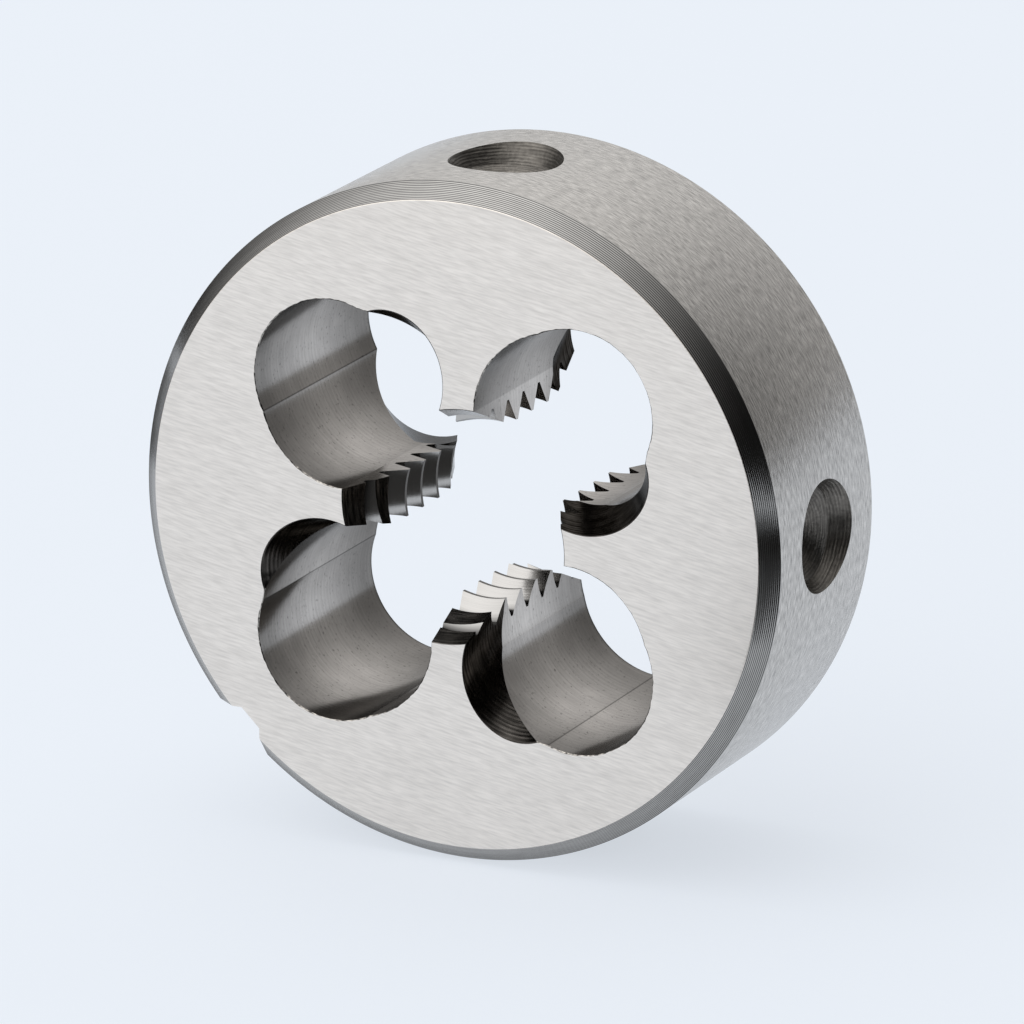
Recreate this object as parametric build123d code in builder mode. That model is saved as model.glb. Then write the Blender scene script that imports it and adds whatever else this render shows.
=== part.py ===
"""Round threading die for a right-hand metric screw thread.

The die lies on its back face. Its axis is +Z, the origin is the centre of the back face, and the
side that starts the thread faces up. Sizes are in millimetres and angles in degrees, counted
counter-clockwise from +X as seen from above. Both faces are made alike, so that the die cuts from
either side.
"""

import os
from math import ceil, radians, tan

from build123d import *

# Body: a short round of tool steel with a chamfer at both ends of its rim
die_diameter = 25.0
die_thickness = 9.0
rim_chamfer = 0.6

# Thread: sharp teeth with a narrow flat on the crest, right-hand
thread_pitch = 1.25
thread_angle = 60.0
crest_diameter = 6.70
crest_flat = 0.15
root_flat = 0.14
first_crest_height = 0.38

# Lands: what the chip holes leave of the threaded bore, edges counted from the middle of a chip hole
land_count = 4
cutting_edge_angle = 31.3
heel_edge_angle = 28.8

# Chip holes: a drilling near the rim and two wider ones side by side behind it
rim_wall = 2.71
outer_drill_diameter = 6.06
inner_drill_diameter = 6.56
drill_spacing = 0.795
cutting_side_offset = 0.19
heel_side_offset = 0.09

# Faces from the drillings to the crest: hollow on the cutting side, flat on the heel side
cutting_face_start = 55.8
cutting_face_radius = 3.4
heel_face_start = 46.2

# Spiral point: a leaning round cutter deepens each chip hole beside the first teeth, down to a level
point_cutter_diameter = 4.52
point_cutter_reach = 3.5
point_depth = 2.6
point_inward_offset = 0.59
point_side_offset = 1.64
point_inward_lean = 21.3
point_side_lean = 28.2

# Lead: the cone that starts the thread, set over towards each land's heel to relieve it
lead_mouth_diameter = 8.76
lead_half_angle = 23.0
lead_relief = 0.55

# Rim: a notch for a spreading screw, and dimples for the other screws of a die stock
notch_position = 225.0
notch_bottom_width = 1.0
notch_depth = 0.9
notch_angle = 90.0
dimple_diameter = 4.3
dimple_step_diameter = 3.4
dimple_step_depth = 0.72
dimple_cone_diameter = 2.64
dimple_cone_start_depth = 0.88
dimple_cone_angle = 90.0
dimple_floor_diameter = 0.7
holding_dimples_from_notch = 135.0
closing_dimples_from_notch = 60.0

# How far each cutter runs past the surface that it enters, and the spare grooves past each face
overrun = 1.0
spare_grooves = 1

die_radius = die_diameter / 2
crest_radius = crest_diameter / 2
flank_slope = tan(radians(thread_angle / 2))
groove_width = thread_pitch - crest_flat
groove_depth = (groove_width - root_flat) / (2 * flank_slope)
full_turn = 360.0
land_step = full_turn / land_count
land_angle = land_step - cutting_edge_angle - heel_edge_angle


def turned_over(shape):
    """The same cut on the other face: the shape turned half a turn about a line at mid-height."""
    return shape.rotate(Axis((0, 0, die_thickness / 2), (1, 0, 0)), full_turn / 2)


# Blank: the section of the round, turned about its axis
with BuildPart() as blank:
    with BuildSketch(Plane.XZ):
        with BuildLine():
            Polyline(
                (0, 0),
                (die_radius - rim_chamfer, 0),
                (die_radius, rim_chamfer),
                (die_radius, die_thickness - rim_chamfer),
                (die_radius - rim_chamfer, die_thickness),
                (0, die_thickness),
                close=True,
            )
        make_face()
    revolve(axis=Axis.Z)

# Thread groove: its section carried along a short piece of the helix, over a land and half of each gap
groove_arc = (land_angle + land_step) / 2
with BuildPart() as groove:
    with BuildLine():
        Helix(thread_pitch, thread_pitch * groove_arc / full_turn, crest_radius)
    with BuildSketch(Plane(origin=(crest_radius, 0, 0), x_dir=(1, 0, 0), z_dir=(0, -1, 0))):
        with BuildLine():
            Polyline(
                (-overrun, -groove_width / 2),
                (0, -groove_width / 2),
                (groove_depth, -root_flat / 2),
                (groove_depth, root_flat / 2),
                (0, groove_width / 2),
                (-overrun, groove_width / 2),
                close=True,
            )
        make_face()
    sweep(is_frenet=True)

# Spiral point on the upper face, in the chip space that lies along +X
outer_drill_radius = outer_drill_diameter / 2
inner_drill_radius = inner_drill_diameter / 2
outer_drill_place = die_radius - rim_wall - outer_drill_radius
inner_drill_place = outer_drill_place - drill_spacing
point_entry = Plane(
    origin=(inner_drill_place - point_inward_offset, -point_side_offset, die_thickness),
    z_dir=(tan(radians(point_inward_lean)), -tan(radians(point_side_lean)), 1),
)
with BuildPart() as spiral_point:
    with Locations(point_entry.offset(-point_cutter_reach)):
        Cylinder(
            point_cutter_diameter / 2,
            point_cutter_reach + point_cutter_diameter,
            align=(Align.CENTER, Align.CENTER, Align.MIN),
        )
    split(bisect_by=Plane.XY.offset(die_thickness - point_depth), keep=Keep.TOP)

# Chip space: the drillings, the faces from them to the edges of the lands, and both spiral points
cutting_drill = Vector(inner_drill_place, -cutting_side_offset)
heel_drill = Vector(inner_drill_place, heel_side_offset)
cutting_ridge = cutting_drill + Vector(-inner_drill_radius, 0).rotate(Axis.Z, cutting_face_start)
heel_ridge = heel_drill + Vector(-inner_drill_radius, 0).rotate(Axis.Z, -heel_face_start)
cutting_edge = Vector(crest_radius, 0).rotate(Axis.Z, -cutting_edge_angle)
heel_edge = Vector(crest_radius, 0).rotate(Axis.Z, heel_edge_angle)
with BuildPart() as chip_space:
    with BuildSketch(Plane.XY.offset(-overrun)):
        with Locations((outer_drill_place, 0)):
            Circle(outer_drill_radius)
        with Locations(cutting_drill, heel_drill):
            Circle(inner_drill_radius)
        with BuildLine():
            RadiusArc(cutting_edge, cutting_ridge, -cutting_face_radius)
            Polyline(cutting_ridge, heel_ridge, heel_edge, cutting_edge)
        make_face()
    extrude(amount=die_thickness + 2 * overrun)
    add(spiral_point.part)
    add(turned_over(spiral_point.part))

# Lead cone over the land that lies along +X, ended half way across the chip spaces beside it
lead_slope = tan(radians(lead_half_angle))
lead_mouth_radius = lead_mouth_diameter / 2
lead_tip_radius = crest_radius - lead_relief
sector_half_width = die_radius * tan(radians(land_step / 2))
with BuildPart() as lead:
    with Locations((0, -lead_relief, die_thickness)):
        Cone(
            lead_tip_radius,
            lead_mouth_radius,
            (lead_mouth_radius - lead_tip_radius) / lead_slope,
            align=(Align.CENTER, Align.CENTER, Align.MAX),
        )
    with BuildSketch():
        with BuildLine():
            Polyline(
                (0, 0),
                (die_radius, -sector_half_width),
                (die_radius, sector_half_width),
                close=True,
            )
        make_face()
    extrude(amount=die_thickness, mode=Mode.INTERSECT)

# Notch through the whole thickness, pointing at the axis
notch_slope = tan(radians(notch_angle / 2))
notch_mouth = notch_bottom_width / 2 + (notch_depth + overrun) * notch_slope
with BuildPart() as notch:
    with BuildSketch(Plane.XY.offset(-overrun)):
        with BuildLine():
            Polyline(
                (die_radius - notch_depth, -notch_bottom_width / 2),
                (die_radius + overrun, -notch_mouth),
                (die_radius + overrun, notch_mouth),
                (die_radius - notch_depth, notch_bottom_width / 2),
                close=True,
            )
        make_face()
    extrude(amount=die_thickness + 2 * overrun)

# Dimple: half its section, turned about the line along +X at mid-height. From the rim a steep wall leads
# down to a shallow step, and from the step a cone to a small flat floor.
dimple_wall_slope = (dimple_diameter - dimple_step_diameter) / (2 * dimple_step_depth)
dimple_cone_slope = tan(radians(dimple_cone_angle / 2))
dimple_cone_depth = (dimple_cone_diameter - dimple_floor_diameter) / (2 * dimple_cone_slope)
dimple_floor_place = die_radius - dimple_cone_start_depth - dimple_cone_depth
with BuildPart() as dimple:
    with BuildSketch(Plane.XY.offset(die_thickness / 2)):
        with BuildLine():
            Polyline(
                (dimple_floor_place, 0),
                (dimple_floor_place, dimple_floor_diameter / 2),
                (die_radius - dimple_cone_start_depth, dimple_cone_diameter / 2),
                (die_radius - dimple_step_depth, dimple_step_diameter / 2),
                (die_radius + overrun, dimple_diameter / 2 + overrun * dimple_wall_slope),
                (die_radius + overrun, 0),
                close=True,
            )
        make_face()
    revolve(axis=Axis((0, 0, die_thickness / 2), (1, 0, 0)))

# The grooves that cross each land, a pitch apart and each land's a part of a pitch above the last
grooves_up = range(-spare_grooves, ceil(die_thickness / thread_pitch) + spare_grooves)
groove_starts = [land * land_step - groove_arc / 2 for land in range(land_count)]
first_groove_height = first_crest_height - thread_pitch / 2
groove_places = [
    Location((0, 0, first_groove_height + thread_pitch * (up + start / full_turn)), (0, 0, start))
    for start in groove_starts
    for up in grooves_up
]

# The holding dimples lie far from the notch and the closing dimples near it, on both sides
dimple_places = [
    Location((0, 0, 0), (0, 0, notch_position + side * angle))
    for angle in (holding_dimples_from_notch, closing_dimples_from_notch)
    for side in (-1, 1)
]

# The die: one solid
with BuildPart() as threading_die:
    add(blank.part)
    Cylinder(crest_radius, 2 * (die_thickness + overrun), mode=Mode.SUBTRACT)
    with PolarLocations(0, land_count, start_angle=land_step / 2):
        add(chip_space.part, mode=Mode.SUBTRACT)
    with PolarLocations(0, land_count):
        add(lead.part, mode=Mode.SUBTRACT)
        add(turned_over(lead.part), mode=Mode.SUBTRACT)
    with Locations(*groove_places):
        add(groove.part, mode=Mode.SUBTRACT)
    with Locations(*dimple_places):
        add(dimple.part, mode=Mode.SUBTRACT)
    with Locations(Location((0, 0, 0), (0, 0, notch_position))):
        add(notch.part, mode=Mode.SUBTRACT)

os.makedirs("parts", exist_ok=True)
threading_die.part.label = "threading_die"
export_step(threading_die.part, "parts/threading_die.step")
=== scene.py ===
from math import cos, pi, radians, sin, tan

import bpy
import numpy as np
from mathutils import Matrix


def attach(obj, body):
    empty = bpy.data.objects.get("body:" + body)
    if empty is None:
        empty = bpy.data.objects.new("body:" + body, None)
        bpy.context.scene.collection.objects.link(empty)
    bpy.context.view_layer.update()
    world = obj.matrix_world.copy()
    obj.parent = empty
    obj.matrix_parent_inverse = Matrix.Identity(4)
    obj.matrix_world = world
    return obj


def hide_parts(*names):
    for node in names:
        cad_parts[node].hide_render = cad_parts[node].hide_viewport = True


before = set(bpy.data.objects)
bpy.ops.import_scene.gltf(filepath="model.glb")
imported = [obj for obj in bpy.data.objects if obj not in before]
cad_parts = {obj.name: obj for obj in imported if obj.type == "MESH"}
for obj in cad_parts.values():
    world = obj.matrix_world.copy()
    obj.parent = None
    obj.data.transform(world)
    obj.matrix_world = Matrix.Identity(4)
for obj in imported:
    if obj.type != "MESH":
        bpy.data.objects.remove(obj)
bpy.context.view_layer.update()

# Lengths are in millimetres, as in the part's source, and become metres when the mesh is finished
metresPerMillimetre = 0.001
dieRadius, dieHeight = 12.5, 9.0
crestRadius = 3.35
overrun = 1.0  # how far each cutter runs past the surface that it enters
tiny = 1e-6


def wire(tree, kind, inputs, **settings):
    # A new node with its settings, each input either linked to a socket or set to a value
    node = tree.nodes.new("ShaderNode" + kind)
    for key, value in settings.items():
        setattr(node, key, value)
    for socket, value in inputs.items():
        if isinstance(value, bpy.types.NodeSocket):
            tree.links.new(value, node.inputs[socket])
        else:
            node.inputs[socket].default_value = value
    return node.outputs


def workedSteel(name, colour, roughness, marks, onMap=True, stainsAndPaintedShade=(), edgeTint=1.0):
    # Each mark is a stretched noise or a row of tool lines, given by its size along and across the cut.
    # Its value, between 0 and 1, darkens the colour by its shade, and its depth goes into the bump.
    # A stain, or a band of painted shade, lies along a line around (X) or across (Y) the cut: its shade
    # near the line changes to the shade beyond between two distances. The edge tint dims the metal where it
    # is seen at a low angle.
    material = bpy.data.materials.new(name)
    material.use_nodes = True
    tree = material.node_tree
    shader = tree.nodes["Principled BSDF"]
    shader.inputs["Metallic"].default_value = 1.0
    shader.inputs["Roughness"].default_value = roughness
    shader.inputs["Specular Tint"].default_value = (edgeTint, edgeTint, edgeTint, 1.0)
    if onMap:
        place = wire(tree, "UVMap", {}, uv_map="surfaceMap")["UV"]
        unit = 1.0
    else:
        place = wire(tree, "TexCoord", {})["Object"]
        unit = metresPerMillimetre
    shade, height, detail = 1.0, 0.0, 3.0
    for mark in marks:
        along, across = mark["size"]
        spot = wire(
            tree,
            "Mapping",
            {
                "Vector": place,
                "Location": (mark.get("start", 0.0) * unit,) * 3,
                "Rotation": (0, 0, radians(mark.get("turn", 0.0))),
                "Scale": (along * unit, across * unit, along * unit),
            },
            vector_type="TEXTURE",
        )["Vector"]
        if mark.get("lines"):
            wander = {"Distortion": mark["lines"], "Detail": detail, "Detail Scale": 2.0}
            lines = {"Vector": spot, "Scale": 1 / pi, **wander}
            value = wire(tree, "TexWave", lines, bands_direction="Y")["Fac"]
        else:
            value = wire(tree, "TexNoise", {"Vector": spot, "Scale": 1.0, "Detail": detail})["Fac"]
        low, high = mark.get("range", (0.3, 0.7))
        value = wire(tree, "MapRange", {"Value": value, "From Min": low, "From Max": high})["Result"]
        darker = wire(tree, "Math", {0: value, 1: -mark["shade"], 2: 1.0}, operation="MULTIPLY_ADD")[0]
        shade = wire(tree, "Math", {0: darker, 1: shade}, operation="MULTIPLY")[0]
        sunk = -mark.get("depth", 0.0)
        height = wire(tree, "Math", {0: value, 1: sunk, 2: height}, operation="MULTIPLY_ADD")[0]
    for darkening in stainsAndPaintedShade:
        way, line = darkening["line"]
        start, end = darkening["distances"]
        near, beyond = darkening["shades"]
        spot = wire(tree, "SeparateXYZ", {0: place})[way]
        aside = wire(tree, "Math", {0: spot, 1: line}, operation="SUBTRACT")[0]
        aside = wire(tree, "Math", {0: aside}, operation="ABSOLUTE")[0]
        lightness = wire(
            tree,
            "MapRange",
            {"Value": aside, "From Min": start, "From Max": end, "To Min": 1 - near, "To Max": 1 - beyond},
            interpolation_type="SMOOTHSTEP",
        )["Result"]
        shade = wire(tree, "Math", {0: lightness, 1: shade}, operation="MULTIPLY")[0]
    tint = wire(tree, "VectorMath", {0: colour, "Scale": shade}, operation="SCALE")["Vector"]
    tree.links.new(tint, shader.inputs["Base Color"])
    bump = wire(tree, "Bump", {"Height": height, "Distance": metresPerMillimetre})["Normal"]
    tree.links.new(bump, shader.inputs["Normal"])
    return material


groundFace = workedSteel(
    "groundFace",
    (0.945, 0.885, 0.818),
    0.28,
    [
        {"size": (0.7, 0.075), "turn": -11.0, "shade": 0.22, "depth": 0.0014, "range": (0.35, 0.85)},
        {"size": (2.5, 0.16), "turn": -11.0, "shade": 0.08, "start": 3.0},
        {"size": (2.5, 2.0), "shade": 0.02, "start": 7.0},
    ],
    onMap=False,
)
turnedChamfer = workedSteel(
    "turnedChamfer",
    (0.50, 0.488, 0.47),
    0.12,
    [
        {"size": (3.0, 0.0743), "lines": 0.5, "shade": 0.8, "range": (0.1, 0.9)},
        {"size": (2.5, 0.03), "shade": 0.12, "depth": 0.0003},
        {"size": (0.8, 0.2), "shade": 0.10, "start": 3.0},
    ],
)
groundRim = workedSteel(
    "groundRim",
    (0.70, 0.672, 0.638),
    0.25,
    [
        {"size": (0.40, 0.075), "shade": 0.52, "depth": 0.004, "range": (0.35, 0.7)},
        {"size": (1.5, 0.2), "shade": 0.10, "depth": 0.001, "start": 3.0},
        {"size": (1.5, 1.2), "shade": 0.05, "start": 7.0},
    ],
)
drilledWall = workedSteel(
    "drilledWall",
    (0.76, 0.72, 0.68),
    0.18,
    [
        {"size": (5.0, 0.07), "shade": 0.14, "depth": 0.0005},
        {"size": (3.0, 0.25), "lines": 2.5, "shade": 0.06, "depth": 0.0004, "range": (0.0, 1.0)},
        {"size": (0.18, 0.08), "shade": 0.5, "range": (0.63, 0.70), "start": 5.0},
        {"size": (1.4, 1.0), "shade": 0.15, "start": 9.0},
    ],
    stainsAndPaintedShade=[
        # Painted reflection: the walls are darker towards both ends of their depth and lighter along the
        # middle
        {"line": ("Y", 6.2), "distances": (0.0, 4.4), "shades": (0.0, 0.5)},  # towards both ends
        # Painted shade: the drillings are darker than the flat faces beside them
        {"line": ("X", 14.70), "distances": (10.2, 10.3), "shades": (0.22, 0.0)},  # on the drillings
        {"line": ("X", 9.84), "distances": (0.0, 0.06), "shades": (0.6, 0.0)},  # where two of them meet
        {"line": ("X", 19.33), "distances": (0.0, 0.06), "shades": (0.6, 0.0)},
    ],
    edgeTint=0.5,
)
brokenEdge = workedSteel(
    "brokenEdge",
    (0.50, 0.47, 0.43),
    0.22,
    [{"size": (0.25, 0.2), "shade": 0.9, "range": (0.42, 0.62)}],
)
milledPoint = workedSteel(
    "milledPoint",
    (0.14, 0.128, 0.116),
    0.2,
    [
        {"size": (2.5, 0.09), "shade": 0.75, "depth": 0.0010},
        {"size": (3.0, 0.18), "lines": 3.0, "shade": 0.3, "depth": 0.0010, "range": (0.0, 1.0)},
        {"size": (0.6, 0.4), "shade": 0.5, "start": 5.0},
    ],
    edgeTint=0.4,
)
cutThread = workedSteel(
    "cutThread",
    (0.56, 0.545, 0.525),
    0.1,
    [
        {"size": (0.06, 4.0), "shade": 0.08, "depth": 0.0004},
        {"size": (0.3, 0.3), "shade": 0.12, "start": 3.0},
        {"size": (0.07, 0.07), "shade": 0.4, "range": (0.66, 0.74), "start": 5.0},
    ],
    # Painted shade: the thread is darkened near the root of its groove
    stainsAndPaintedShade=[{"line": ("X", 2.03), "distances": (0.0, 0.55), "shades": (0.93, 0.0)}],  # in the root
)
crestFlat = workedSteel(
    "crestFlat",
    (0.13, 0.12, 0.11),
    0.35,
    [
        {"size": (2.0, 0.05), "shade": 0.3, "depth": 0.001},
        {"size": (0.12, 0.1), "shade": 0.3, "start": 3.0},
    ],
)
reliefCone = workedSteel(
    "reliefCone",
    (0.20, 0.187, 0.172),
    0.22,
    [
        {"size": (1.5, 0.11), "shade": 0.85, "depth": 0.0012, "range": (0.35, 0.6)},
        {"size": (0.09, 0.09), "shade": -0.6, "range": (0.62, 0.72), "start": 5.0},
        {"size": (0.7, 0.5), "shade": 0.3, "start": 9.0},
    ],
)
drilledDimple = workedSteel(
    "drilledDimple",
    (0.27, 0.25, 0.225),
    0.36,
    [
        {"size": (1.5, 0.07), "shade": 0.45, "depth": 0.005},
        {"size": (0.25, 0.2), "shade": 0.35, "depth": 0.004, "start": 3.0},
        {"size": (0.5, 0.12), "lines": 3.0, "shade": 0.3, "depth": 0.003, "range": (0.0, 1.0), "start": 5.0},
    ],
)
milledNotch = workedSteel(
    "milledNotch",
    (0.55, 0.535, 0.515),
    0.3,
    [
        {"size": (0.06, 3.0), "shade": 0.25, "depth": 0.002},
        {"size": (0.5, 0.5), "shade": 0.15, "start": 3.0},
    ],
)
print("finishes mixed")


def meshFromRings(name, rings, bands, crease=25.0, cutter=True):
    # Rings of points stand one beyond another: quads join each ring to the next, a flat cap closes both
    # ends. The smooth normals, broken where the crease is sharper, and a map of distances around and
    # across are kept at each corner, so that they outlast the cuts. A cutter leaves its normals reversed.
    rows, columns = rings.shape[:2]
    point = np.arange(rows * columns).reshape(rows, columns)
    point = np.concatenate([point, point[:, :1]], axis=1)
    closed = np.concatenate([rings, rings[:, :1]], axis=1)
    around = np.cumsum(np.linalg.norm(np.diff(closed, axis=1), axis=2), axis=1)
    around = np.concatenate([[0], around[np.argmax(around[:, -1])]])
    across = np.cumsum(np.linalg.norm(np.diff(closed, axis=0), axis=2), axis=0)
    across = np.concatenate([np.zeros((1, columns + 1)), across])
    distances = np.stack([np.broadcast_to(around, across.shape), across], axis=-1)

    def cornersOf(grid):
        return np.stack([grid[:-1, :-1], grid[:-1, 1:], grid[1:, 1:], grid[1:, :-1]], axis=2).reshape(
            (rows - 1) * columns, 4, *grid.shape[2:]
        )

    walls, wallMap = cornersOf(point), cornersOf(distances)
    caps = [point[0, :-1][::-1], point[-1, :-1]]
    points = rings.reshape(-1, 3)
    middle = points.mean(axis=0)
    corner = [points[walls[:, i]] - middle for i in range(4)]
    volume = (corner[0] * (np.cross(corner[1], corner[2]) + np.cross(corner[2], corner[3]))).sum()
    for cap in caps:
        rim = points[cap] - middle
        volume += (rim.mean(axis=0) * np.cross(rim, np.roll(rim, -1, axis=0))).sum()
    if volume < 0:
        walls, wallMap, caps = walls[:, ::-1], wallMap[:, ::-1], [cap[::-1] for cap in caps]

    mesh = bpy.data.meshes.new(name)
    mesh.from_pydata(points.tolist(), [], walls.tolist() + [cap.tolist() for cap in caps])
    finishes = list(dict.fromkeys(material for material, count in bands))
    for material in finishes:
        mesh.materials.append(material)
    numbers = [finishes.index(material) for material, count in bands]
    slots = np.repeat(numbers, [count for material, count in bands])
    slots = np.concatenate([np.repeat(slots, columns), [slots[0], slots[-1]]])
    mesh.polygons.foreach_set("material_index", slots.astype(np.int32))
    mesh.polygons.foreach_set("use_smooth", np.ones(len(mesh.polygons), dtype=bool))
    mesh.set_sharp_from_angle(angle=radians(crease))
    normals = np.empty(len(mesh.loops) * 3)
    mesh.corner_normals.foreach_get("vector", normals)
    kept = mesh.attributes.new("cutNormal", "FLOAT_VECTOR", "CORNER")
    kept.data.foreach_set("vector", -normals if cutter else normals)
    capMap = np.zeros((2 * columns, 2))
    surfaceMap = np.concatenate([wallMap.reshape(-1, 2), capMap])
    mesh.uv_layers.new(name="surfaceMap").uv.foreach_set("vector", surfaceMap.ravel())
    piece = bpy.data.objects.new(name, mesh)
    bpy.context.scene.collection.objects.link(piece)
    return piece


def turned(rings, degrees):
    # Every point turned about the die's axis by one angle
    angle = radians(degrees)
    matrix = np.array([[cos(angle), -sin(angle), 0], [sin(angle), cos(angle), 0], [0, 0, 1]])
    return rings @ matrix.T


def turnedOver(rings):
    # Half a turn about the line along X at mid-height: y and z change sign about that line
    return rings * np.array([1, -1, -1]) + np.array([0, 0, dieHeight])


def cutAway(body, cutter):
    change = body.modifiers.new("cut", "BOOLEAN")
    change.operation = "DIFFERENCE"
    change.solver = "MANIFOLD"
    change.material_mode = "TRANSFER"
    change.object = cutter
    graph = bpy.context.evaluated_depsgraph_get()
    result = bpy.data.meshes.new_from_object(body.evaluated_get(graph))
    old, spent = body.data, cutter.data
    body.modifiers.clear()
    body.data = result
    bpy.data.meshes.remove(old)
    bpy.data.objects.remove(cutter)
    bpy.data.meshes.remove(spent)


blank = {
    "chamfer": 0.6,
    "edgeRound": 0.05,  # radius left by deburring
    "ringCount": 11,  # feed marks across each chamfer
    "ringDepth": 0.008,
    "pointsPerRing": 4,
    "pointsPerCorner": 4,
    "innerRadius": 2.0,
    "stepsAround": 360,
    "seam": 225.0,  # the surface map starts and ends inside the notch
}


def blankProfile():
    # Half outline of the section from the lower face to the upper one: rounded corners, and scallops
    # along each chamfer whose depth is a parabola between two neighbouring ridges
    chamfer, edgeRound, perRing = blank["chamfer"], blank["edgeRound"], blank["pointsPerRing"]
    bend = edgeRound * tan(pi / 8)
    start = np.array([dieRadius - chamfer, dieHeight])
    end = np.array([dieRadius, dieHeight - chamfer])
    alongChamfer = (end - start) / np.linalg.norm(end - start)
    inward = np.array([-1, -1]) / np.sqrt(2)
    first, last = start + alongChamfer * bend, end - alongChamfer * bend
    mark = np.arange(blank["ringCount"] * perRing + 1) / perRing
    depth = blank["ringDepth"] * 4 * (mark % 1) * (1 - mark % 1)
    scallops = first + mark[:, None] / blank["ringCount"] * (last - first) + depth[:, None] * inward

    def roundCorner(corner, turnFrom, turnTo):
        # Arc of the edge radius between two directions of its normal
        normal = np.radians(np.linspace(turnFrom, turnTo, blank["pointsPerCorner"]))
        middle = np.radians((turnFrom + turnTo) / 2)
        centre = corner - edgeRound / cos(pi / 8) * np.array([cos(middle), sin(middle)])
        return centre + edgeRound * np.stack([np.cos(normal), np.sin(normal)], axis=1)

    upper = np.concatenate(
        [
            [[blank["innerRadius"], dieHeight]],
            roundCorner(start, 90, 45)[:-1],
            scallops,
            roundCorner(end, 45, 0)[1:],
        ]
    )
    lower = upper * [1, -1] + [0, dieHeight]
    return np.concatenate([lower, upper[::-1]])


def revolved(profile, steps, seam=0.0):
    # Each profile point (distance, height) goes round the axis: x = distance cos u, y = distance sin u
    u = radians(seam) + np.linspace(0, 2 * pi, steps, endpoint=False)
    distance, height = np.asarray(profile).T
    return np.stack(
        [np.outer(distance, np.cos(u)), np.outer(distance, np.sin(u)), np.outer(height, np.ones(steps))],
        axis=-1,
    )


cornerRows = blank["pointsPerCorner"] - 1
chamferRows = blank["ringCount"] * blank["pointsPerRing"] + cornerRows
body = meshFromRings(
    "dieBody",
    revolved(blankProfile(), blank["stepsAround"], blank["seam"]),
    [
        (groundFace, 1 + cornerRows),
        (turnedChamfer, chamferRows),
        (groundRim, 1),
        (turnedChamfer, chamferRows),
        (groundFace, 1 + cornerRows),
    ],
    cutter=False,
)
print("blank turned")

chipHole = {
    "places": (45.0, 135.0, 225.0, 315.0),
    "outerDrill": (6.76, 0.0, 3.03),  # centre outwards and sideways from the die's axis, and radius
    "cuttingDrill": (5.965, -0.19, 3.28),
    "heelDrill": (5.965, 0.09, 3.28),
    "cuttingEdgeAngle": 31.3,
    "heelEdgeAngle": 28.8,
    "cuttingFaceStart": 55.8,
    "cuttingFaceRadius": 3.4,
    "heelFaceStart": 46.2,
    "middle": 6.2,
    "stepsAround": 240,
    "crease": 3.2,
    "edgeBreak": 0.03,  # small uneven bevel where the hole leaves the upper face
    "lowerEdgeBreak": 0.03,
    "darkEdge": 0.09,  # width of the dark line just inside the lower edge
    "chips": ((7, 0.4, 0.3), (17, 2.1, 0.2), (41, 4.0, 0.2), (73, 1.2, 0.2)),  # waves, start, share
    "leastBreak": 0.2,
}


def holeOutline():
    # From the hole's middle, the way out along each direction u: for a circle with centre c, c.u +
    # sqrt(R^2 - c.c + (c.u)^2), and for a flat through p with normal n, p.n / u.n. Corners where two
    # stretches meet tell which way out holds.
    def away(place, angle, radius):
        return np.array([place[0] + radius * cos(radians(angle)), place[1] + radius * sin(radians(angle))])

    def meeting(one, other):
        # Where two circles cross, on the side of the first one's centre: the radical line, then Pythagoras
        between = np.subtract(other[:2], one[:2])
        far = np.hypot(*between)
        along = (far**2 + one[2] ** 2 - other[2] ** 2) / (2 * far)
        aside = np.sqrt(one[2] ** 2 - along**2) * np.sign(one[1])
        unit = between / far
        return np.array(one[:2]) + along * unit + aside * np.array([-unit[1], unit[0]])

    outer, cutting, heel = chipHole["outerDrill"], chipHole["cuttingDrill"], chipHole["heelDrill"]
    middle = np.array([chipHole["middle"], 0.0])
    cuttingEdge = away((0, 0), -chipHole["cuttingEdgeAngle"], crestRadius)
    heelEdge = away((0, 0), chipHole["heelEdgeAngle"], crestRadius)
    cuttingRidge = away(cutting, 180 + chipHole["cuttingFaceStart"], cutting[2])
    heelRidge = away(heel, 180 - chipHole["heelFaceStart"], heel[2])
    chord = cuttingRidge - cuttingEdge
    length = np.hypot(*chord)
    rise = np.sqrt(chipHole["cuttingFaceRadius"] ** 2 - length**2 / 4)
    faceCentre = cuttingEdge + chord / 2 + rise * np.array([-chord[1], chord[0]]) / length
    corners = [cuttingEdge, cuttingRidge, meeting(cutting, outer), meeting(heel, outer), heelRidge, heelEdge]
    cornerAngles = np.array([np.arctan2(*(corner - middle)[::-1]) for corner in corners])
    steps = np.linspace(-pi, pi, chipHole["stepsAround"], endpoint=False)
    free = np.abs(steps[:, None] - cornerAngles).min(axis=1) > pi / chipHole["stepsAround"] / 2
    v = np.sort(np.concatenate([steps[free], cornerAngles]))
    u = np.stack([np.cos(v), np.sin(v)], axis=1)

    def outOfCircle(place, radius):
        c = np.asarray(place) - middle
        return u @ c + np.sqrt(radius**2 - c @ c + (u @ c) ** 2)

    def outOfFlat(start, end):
        n = np.array([start[1] - end[1], end[0] - start[0]])
        toward = u @ n
        return (start - middle) @ n / np.where(np.abs(toward) > tiny, toward, tiny)

    acrossBore = outOfFlat(heelEdge, cuttingEdge)
    waysOut = np.stack(
        [
            acrossBore,
            outOfCircle(faceCentre, chipHole["cuttingFaceRadius"]),
            outOfCircle(cutting[:2], cutting[2]),
            outOfCircle(outer[:2], outer[2]),
            outOfCircle(heel[:2], heel[2]),
            outOfFlat(heelRidge, heelEdge),
            acrossBore,
        ]
    )
    holds = np.searchsorted(cornerAngles, v - tiny)
    return middle, u, waysOut[holds, np.arange(v.size)]


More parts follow.
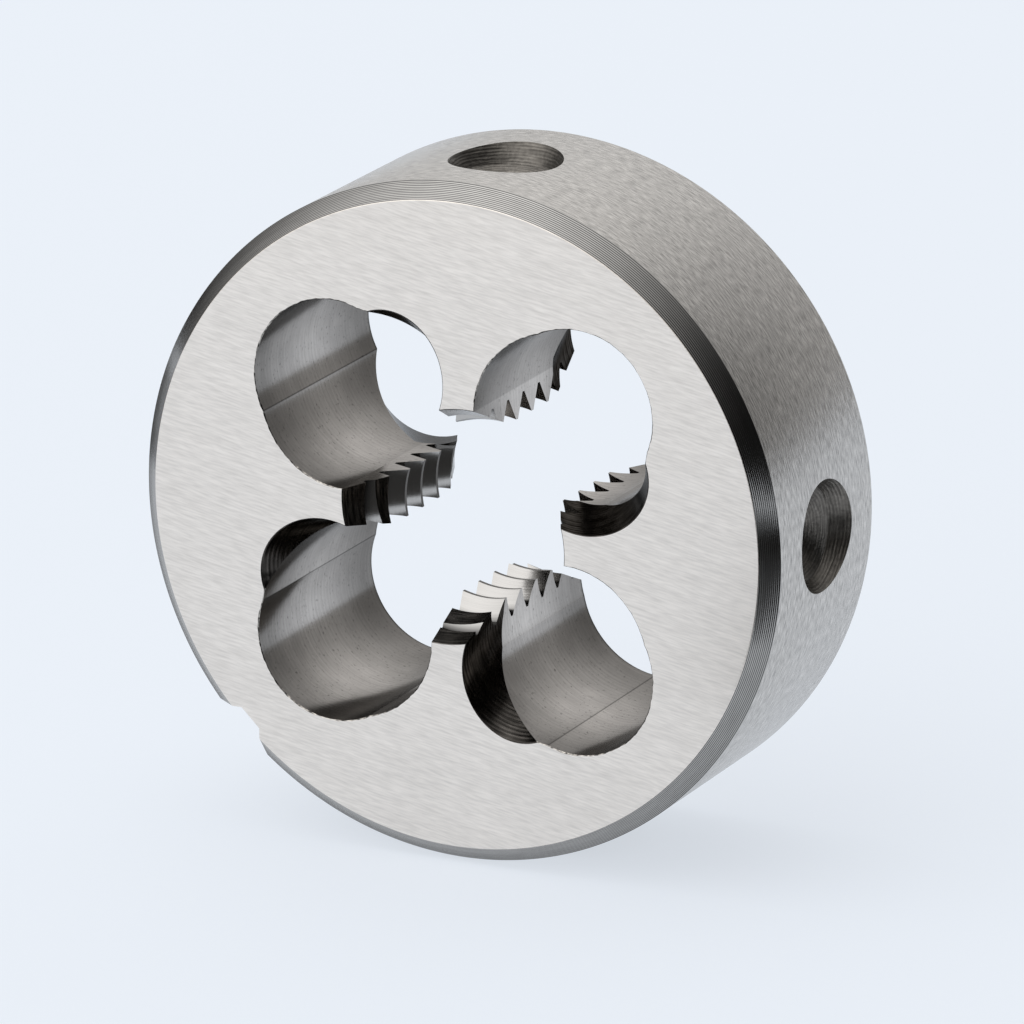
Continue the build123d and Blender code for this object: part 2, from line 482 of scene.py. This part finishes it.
def holeRings():
    # The outline stands at each height, grown by the edge break where it leaves the faces. The upper
    # break's width goes round as 1 plus a sum of sines, never under its least share.
    middle, u, distance = holeOutline()
    angle = np.arctan2(u[:, 1], u[:, 0])
    uneven = 1 + sum(share * np.sin(waves * angle + start) for waves, start, share in chipHole["chips"])
    small = chipHole["edgeBreak"] * uneven.clip(min=chipHole["leastBreak"])
    lower = chipHole["lowerEdgeBreak"]
    flat = np.zeros_like(small)
    under = [flat - overrun, flat, flat + lower, flat + lower + chipHole["darkEdge"]]
    heights = under + [dieHeight - small, flat + dieHeight, flat + dieHeight + overrun]
    growth = [flat + lower + overrun, flat + lower, flat, flat, flat, small, small + overrun]
    outline = middle + (distance + np.array(growth))[..., None] * u
    return np.concatenate([outline, np.array(heights)[..., None]], axis=2)


boreProfile = [(crestRadius, -overrun), (crestRadius, dieHeight + overrun)]
cutAway(body, meshFromRings("bore", revolved(boreProfile, blank["stepsAround"]), [(crestFlat, 1)]))
for place in chipHole["places"]:
    rings = turned(holeRings(), place)
    bands = [(crestFlat, 3), (drilledWall, 1), (brokenEdge, 2)]
    cutAway(body, meshFromRings("hole", rings, bands, chipHole["crease"]))
print("chip holes drilled")

lead = {
    "lands": 4,
    "mouthRadius": 4.38,
    "tipRadius": 2.80,
    "halfAngle": 23.0,
    "relief": 0.55,
    "edgeBreak": 0.02,
    "stepsPerLand": 60,
}


def leadRings():
    # Distance from the axis to a circle whose centre is set over towards the land's heel: c.u +
    # sqrt(R^2 - (c x u)^2), with u the direction, c the centre and R growing up the cone. Each land's
    # stretch stops just short of the next one's.
    slope, small = tan(radians(lead["halfAngle"])), lead["edgeBreak"]
    depth = (lead["mouthRadius"] - lead["tipRadius"]) / slope
    heights = np.array([dieHeight - depth, dieHeight - small, dieHeight, dieHeight + overrun])
    grown = np.array([0, 0, small, small + overrun])
    circle = lead["mouthRadius"] + (heights - dieHeight).clip(max=0) * slope + grown
    stretch = 360 / lead["lands"]
    land = np.repeat(np.arange(lead["lands"]) * stretch, lead["stepsPerLand"])
    within = np.linspace(-stretch / 2, stretch / 2, lead["stepsPerLand"]) * (1 - tiny)
    within = np.tile(within, lead["lands"])
    u = np.radians(land + within)
    turn = np.radians(within)
    alongU, acrossU = -lead["relief"] * np.sin(turn), lead["relief"] * np.cos(turn)
    distance = alongU + np.sqrt(circle[:, None] ** 2 - acrossU**2)
    return np.stack(
        [distance * np.cos(u), distance * np.sin(u), heights[:, None] * np.ones_like(u)], axis=-1
    )


cutAway(body, meshFromRings("leadAbove", leadRings(), [(reliefCone, 3)]))
cutAway(body, meshFromRings("leadBelow", turnedOver(leadRings()), [(reliefCone, 3)]))
print("leads cut")

spiralPoint = {
    "radius": 2.206,  # where the axis meets the face
    "taper": 0.152,  # the cutter is a little slimmer towards its end
    "reach": 3.5,  # from the face to the cutter's square end, along its axis
    "depth": 2.6,  # level at which the cut stops
    "floorRings": (0.3, 0.6, 0.8, 1),  # shares of the radius at which rings of the floor stand
    "entry": (5.337, -1.727),  # where the axis meets the face, in the hole's frame
    "inwardLean": 20.4,
    "sideLean": 18.4,
    "edgeBreak": 0.025,
    "stepsAround": 120,
}


def pointRings():
    # A round tapered cutter on a leaning axis: point = entry + s axis + (radius + taper s) circle(u),
    # and each ring is at one level, which gives s, though not past the cutter's square end. The first
    # rings lie one inside another and make the floor.
    radius, taper, small = spiralPoint["radius"], spiralPoint["taper"], spiralPoint["edgeBreak"]
    axis = np.array(
        [tan(radians(spiralPoint["inwardLean"])), -tan(radians(spiralPoint["sideLean"])), 1.0]
    )
    axis /= np.linalg.norm(axis)
    across = np.cross(axis, [0, 0, 1.0])
    across /= np.linalg.norm(across)
    upward = np.cross(across, axis)
    entry = np.array([*spiralPoint["entry"], dieHeight])
    u = np.linspace(0, 2 * pi, spiralPoint["stepsAround"], endpoint=False)
    circle = np.outer(np.cos(u), across) + np.outer(np.sin(u), upward)
    floors = [(-spiralPoint["depth"], 0, share) for share in spiralPoint["floorRings"]]
    sides = [(-small, 0, 1), (0, small, 1), (overrun, small + overrun, 1)]
    rings = []
    for level, growth, share in floors + sides:
        slide = (level - share * (radius + growth) * circle[:, 2]) / (axis[2] + share * taper * circle[:, 2])
        slide = slide.clip(min=-spiralPoint["reach"])[:, None]
        rings.append(entry + slide * axis + share * (radius + growth + taper * slide) * circle)
    return np.stack(rings)


for place in chipHole["places"]:
    for name, rings in (("pointAbove", pointRings()), ("pointBelow", turnedOver(pointRings()))):
        cutAway(body, meshFromRings(name, turned(rings, place), [(milledPoint, len(rings) - 1)]))
print("spiral points milled")

thread = {
    "pitch": 1.25,
    "crestFlat": 0.15,
    "rootFlat": 0.14,
    "firstCrestHeight": 0.38,
    "flankAngle": 30.0,
    "stepsPerTurn": 120,
    "reach": 1.5,  # how far the helix runs past each face
}


def grooveRings():
    # The groove's section, in a plane through the axis, carried along the helix: height rises by one
    # pitch in each turn
    pitch, rootFlat = thread["pitch"], thread["rootFlat"]
    width = pitch - thread["crestFlat"]
    depth = (width - rootFlat) / (2 * tan(radians(thread["flankAngle"])))
    away = np.array([-overrun, 0, depth, depth, 0, -overrun])
    up = np.array([-width, -width, -rootFlat, rootFlat, width, width]) / 2
    first = thread["firstCrestHeight"] - pitch / 2
    turns = np.array([-thread["reach"] - first, dieHeight + thread["reach"] - first]) / pitch
    u = np.linspace(turns[0], turns[1], int((turns[1] - turns[0]) * thread["stepsPerTurn"])) * 2 * pi
    distance = crestRadius + away
    height = first + pitch * u[:, None] / (2 * pi) + up
    return np.stack([np.cos(u)[:, None] * distance, np.sin(u)[:, None] * distance, height], axis=-1)


helix = grooveRings()
cutAway(body, meshFromRings("groove", helix, [(cutThread, len(helix) - 1)]))
print("thread cut")

dimple = {
    "places": (0.0, 90.0, 165.0, 285.0),
    "mouthRadius": 2.15,
    "step": (0.72, 1.70),  # depth under the rim, and radius
    "coneStart": (0.88, 1.32),
    "floorRadius": 0.35,
    "stepsAround": 96,
}


def dimpleRings():
    # A profile of depths and radii about the line along X at mid-height: the floor, the cone at 45
    # degrees, the step, and the wall that runs on past the rim
    floor, mouth = dimple["floorRadius"], dimple["mouthRadius"]
    (stepDepth, stepRadius), (coneDepth, coneRadius) = dimple["step"], dimple["coneStart"]
    spread = overrun * (mouth - stepRadius) / stepDepth
    depth = np.array([coneDepth + coneRadius - floor, coneDepth, stepDepth, -overrun])
    distance = np.array([floor, coneRadius, stepRadius, mouth + spread])
    u = np.linspace(0, 2 * pi, dimple["stepsAround"], endpoint=False)
    return np.stack(
        [
            (dieRadius - depth)[:, None] * np.ones_like(u),
            np.outer(distance, np.cos(u)),
            dieHeight / 2 + np.outer(distance, np.sin(u)),
        ],
        axis=-1,
    )


for place in dimple["places"]:
    cutAway(body, meshFromRings("dimple", turned(dimpleRings(), place), [(drilledDimple, 3)]))

notch = {"place": 225.0, "bottomWidth": 1.0, "depth": 0.9}


def notchRings():
    # The notch's outline, a flat bottom between two sides at 45 degrees, at each height
    half, bottom = notch["bottomWidth"] / 2, dieRadius - notch["depth"]
    mouth = half + notch["depth"] + overrun
    outline = np.array(
        [
            [bottom, -half],
            [dieRadius + overrun, -mouth],
            [dieRadius + overrun, mouth],
            [bottom, half],
        ]
    )
    heights = np.array([-overrun, dieHeight + overrun])
    flat = np.broadcast_to(outline, (2, 4, 2))
    return np.concatenate([flat, np.broadcast_to(heights[:, None, None], (2, 4, 1))], axis=-1)


cutAway(body, meshFromRings("notch", turned(notchRings(), notch["place"]), [(milledNotch, 1)]))
print("rim finished:", len(body.data.polygons), "faces")

mesh = body.data
mesh.transform(Matrix.Scale(metresPerMillimetre, 4))
normals = np.empty(len(mesh.loops) * 3)
mesh.attributes["cutNormal"].data.foreach_get("vector", normals)
mesh.attributes.remove(mesh.attributes["cutNormal"])
mesh.polygons.foreach_set("use_smooth", np.ones(len(mesh.polygons), dtype=bool))
mesh.normals_split_custom_set(normals.reshape(-1, 3).tolist())
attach(body, "root")
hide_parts("threading_die")
print("normals set")

studio = {
    "worldColour": (0.87, 0.87, 0.87),
    "floorColour": (0.8228, 0.8714, 0.9387),
    "floorDiffuse": 0.30,  # share of the floor's colour that takes light and shadow
    "floorGlow": 0.73,
    "floorReach": 1.0,  # in metres, as the tent's radius is
    # dark cards on the floor, outside the picture: corners in x and z
    "flags": (
        ((3.0, 30.0), (32.0, 135.0), (140.0, 80.0), (95.0, -15.0)),
        ((-60.0, 8.0), (-60.0, -110.0), (-220.0, -110.0), (-220.0, 8.0)),
    ),
    "flagColour": (0.02, 0.02, 0.02),
    "flagLift": 0.5,
    "tentRadius": 0.8,
    "tentSteps": (24, 48),  # up and round
    "tentHeight": 0.998,  # share of a quarter turn that the tent reaches up and down
    "tentGlow": 0.87,
    # azimuth, height, narrowness and strength of each soft panel on the tent
    "lamps": ((98.0, 13.0, 1.9, 1.5),),
    "darkCards": (
        (176.0, -10.0, 4.5, 1.0),
        (14.0, -16.0, 1.7, 1.0),
        (22.0, 26.0, 4.0, 1.0),
        (2.0, 50.0, 6.0, 0.95),
    ),
}

world = bpy.data.worlds.new("studio")
bpy.context.scene.world = world
world.use_nodes = True
world.cycles.sampling_method = "NONE"
world.node_tree.nodes["Background"].inputs["Color"].default_value = (*studio["worldColour"], 1.0)


def panelGlow(tree, direction, panel):
    # How far a direction lies in a panel: e to the power of narrowness times (cosine of the angle - 1)
    azimuth, height, narrowness, strength = panel
    azimuth, height = radians(azimuth), radians(height)
    middle = (cos(height) * cos(azimuth), cos(height) * sin(azimuth), sin(height))
    cosine = wire(tree, "VectorMath", {0: direction, 1: middle}, operation="DOT_PRODUCT")["Value"]
    power = wire(tree, "Math", {0: cosine, 1: narrowness, 2: -narrowness}, operation="MULTIPLY_ADD")[0]
    glow = wire(tree, "Math", {0: power}, operation="EXPONENT")[0]
    return wire(tree, "Math", {0: glow, 1: strength}, operation="MULTIPLY")[0]


def studioTent():
    # A round tent of pale cloth that glows, more by its lamps and less behind its dark cards
    material = bpy.data.materials.new("tentCloth")
    material.use_nodes = True
    material.cycles.emission_sampling = "NONE"
    tree = material.node_tree
    tree.nodes.remove(tree.nodes["Principled BSDF"])
    place = wire(tree, "TexCoord", {})["Object"]
    direction = wire(tree, "VectorMath", {0: place}, operation="NORMALIZE")["Vector"]
    lit = studio["tentGlow"]
    for lamp in studio["lamps"]:
        lit = wire(tree, "Math", {0: panelGlow(tree, direction, lamp), 1: lit}, operation="ADD")[0]
    for card in studio["darkCards"]:
        clear = wire(tree, "Math", {0: 1.0, 1: panelGlow(tree, direction, card)}, operation="SUBTRACT")[0]
        lit = wire(tree, "Math", {0: clear, 1: lit}, operation="MULTIPLY")[0]
    glow = wire(tree, "Emission", {"Strength": lit})[0]
    tree.links.new(glow, tree.nodes["Material Output"].inputs["Surface"])

    stepsUp, stepsAround = studio["tentSteps"]
    height = np.linspace(-studio["tentHeight"], studio["tentHeight"], stepsUp) * pi / 2
    profile = studio["tentRadius"] * np.stack([np.cos(height), np.sin(height)], axis=1)
    tent = meshFromRings("studioTent", revolved(profile, stepsAround), [(material, stepsUp - 1)])
    tent.visible_camera = False


def studioFloor():
    # A flat floor under the rim. Part of its colour takes light and shadow and the rest glows, and from
    # below it lets everything through.
    material = bpy.data.materials.new("paleFloor")
    material.use_nodes = True
    tree = material.node_tree
    tree.nodes.remove(tree.nodes["Principled BSDF"])
    colour = (*studio["floorColour"], 1.0)
    shaded = [part * studio["floorDiffuse"] for part in studio["floorColour"]]
    cloth = wire(tree, "BsdfDiffuse", {"Color": (*shaded, 1.0)})[0]
    path = wire(tree, "LightPath", {})
    seen = wire(tree, "Math", {0: path["Is Camera Ray"], 1: path["Is Glossy Ray"]}, operation="MAXIMUM")[0]
    seen = wire(tree, "Math", {0: seen, 1: path["Is Transmission Ray"]}, operation="MAXIMUM")[0]
    share = wire(tree, "Math", {0: seen, 1: studio["floorGlow"]}, operation="MULTIPLY")[0]
    glow = wire(tree, "Emission", {"Color": colour, "Strength": share})[0]
    above = wire(tree, "AddShader", {0: cloth, 1: glow})[0]
    behind = wire(tree, "NewGeometry", {})["Backfacing"]
    through = wire(tree, "BsdfTransparent", {})[0]
    both = wire(tree, "MixShader", {0: behind, 1: above, 2: through})[0]
    tree.links.new(both, tree.nodes["Material Output"].inputs["Surface"])

    reach = studio["floorReach"] / metresPerMillimetre
    corners = (-reach, reach), (reach, reach), (reach, -reach), (-reach, -reach)
    levelSheet("floor", corners, 0.0, material)


def levelSheet(name, corners, lift, material):
    # A sheet through each corner's x and z, at the height of the rim's lowest point plus a lift
    x, z = np.array(corners).T
    points = np.stack([x, np.full_like(x, lift - dieRadius), z], axis=-1) * metresPerMillimetre
    mesh = bpy.data.meshes.new(name)
    mesh.from_pydata(points.tolist(), [], [(0, 1, 2, 3)])
    mesh.materials.append(material)
    sheet = bpy.data.objects.new(name, mesh)
    bpy.context.scene.collection.objects.link(sheet)
    return sheet


def studioFlags():
    # Dark cards lie on the floor outside the picture, where only the metal shows them
    material = bpy.data.materials.new("darkCard")
    material.use_nodes = True
    shader = material.node_tree.nodes["Principled BSDF"]
    shader.inputs["Base Color"].default_value = (*studio["flagColour"], 1.0)
    for number, corners in enumerate(studio["flags"]):
        flag = levelSheet("flag%d" % number, corners, studio["flagLift"], material)
        flag.visible_camera = flag.visible_diffuse = flag.visible_shadow = False


studioTent()
studioFloor()
studioFlags()
print("studio set up")

# The camera stands at the photograph's viewing angle, at a distance that gives its perspective
camera = bpy.data.objects.new("camera", bpy.data.cameras.new("camera"))
bpy.context.scene.collection.objects.link(camera)
bpy.context.scene.camera = camera
camera.data.lens = 329.0263
camera.data.sensor_width = 36
camera.data.clip_start = 0.01
camera.data.clip_end = 10
camera.matrix_world = Matrix(
    (
        (0.89862147, -0.12084735, 0.42175274, 0.1414931516),
        (-0.00689436, 0.95730654, 0.28899250, 0.0962087827),
        (-0.43867063, -0.26260258, 0.85942304, 0.2925335873),
        (0, 0, 0, 1),
    )
)
bpy.context.scene.view_settings.view_transform = "Standard"
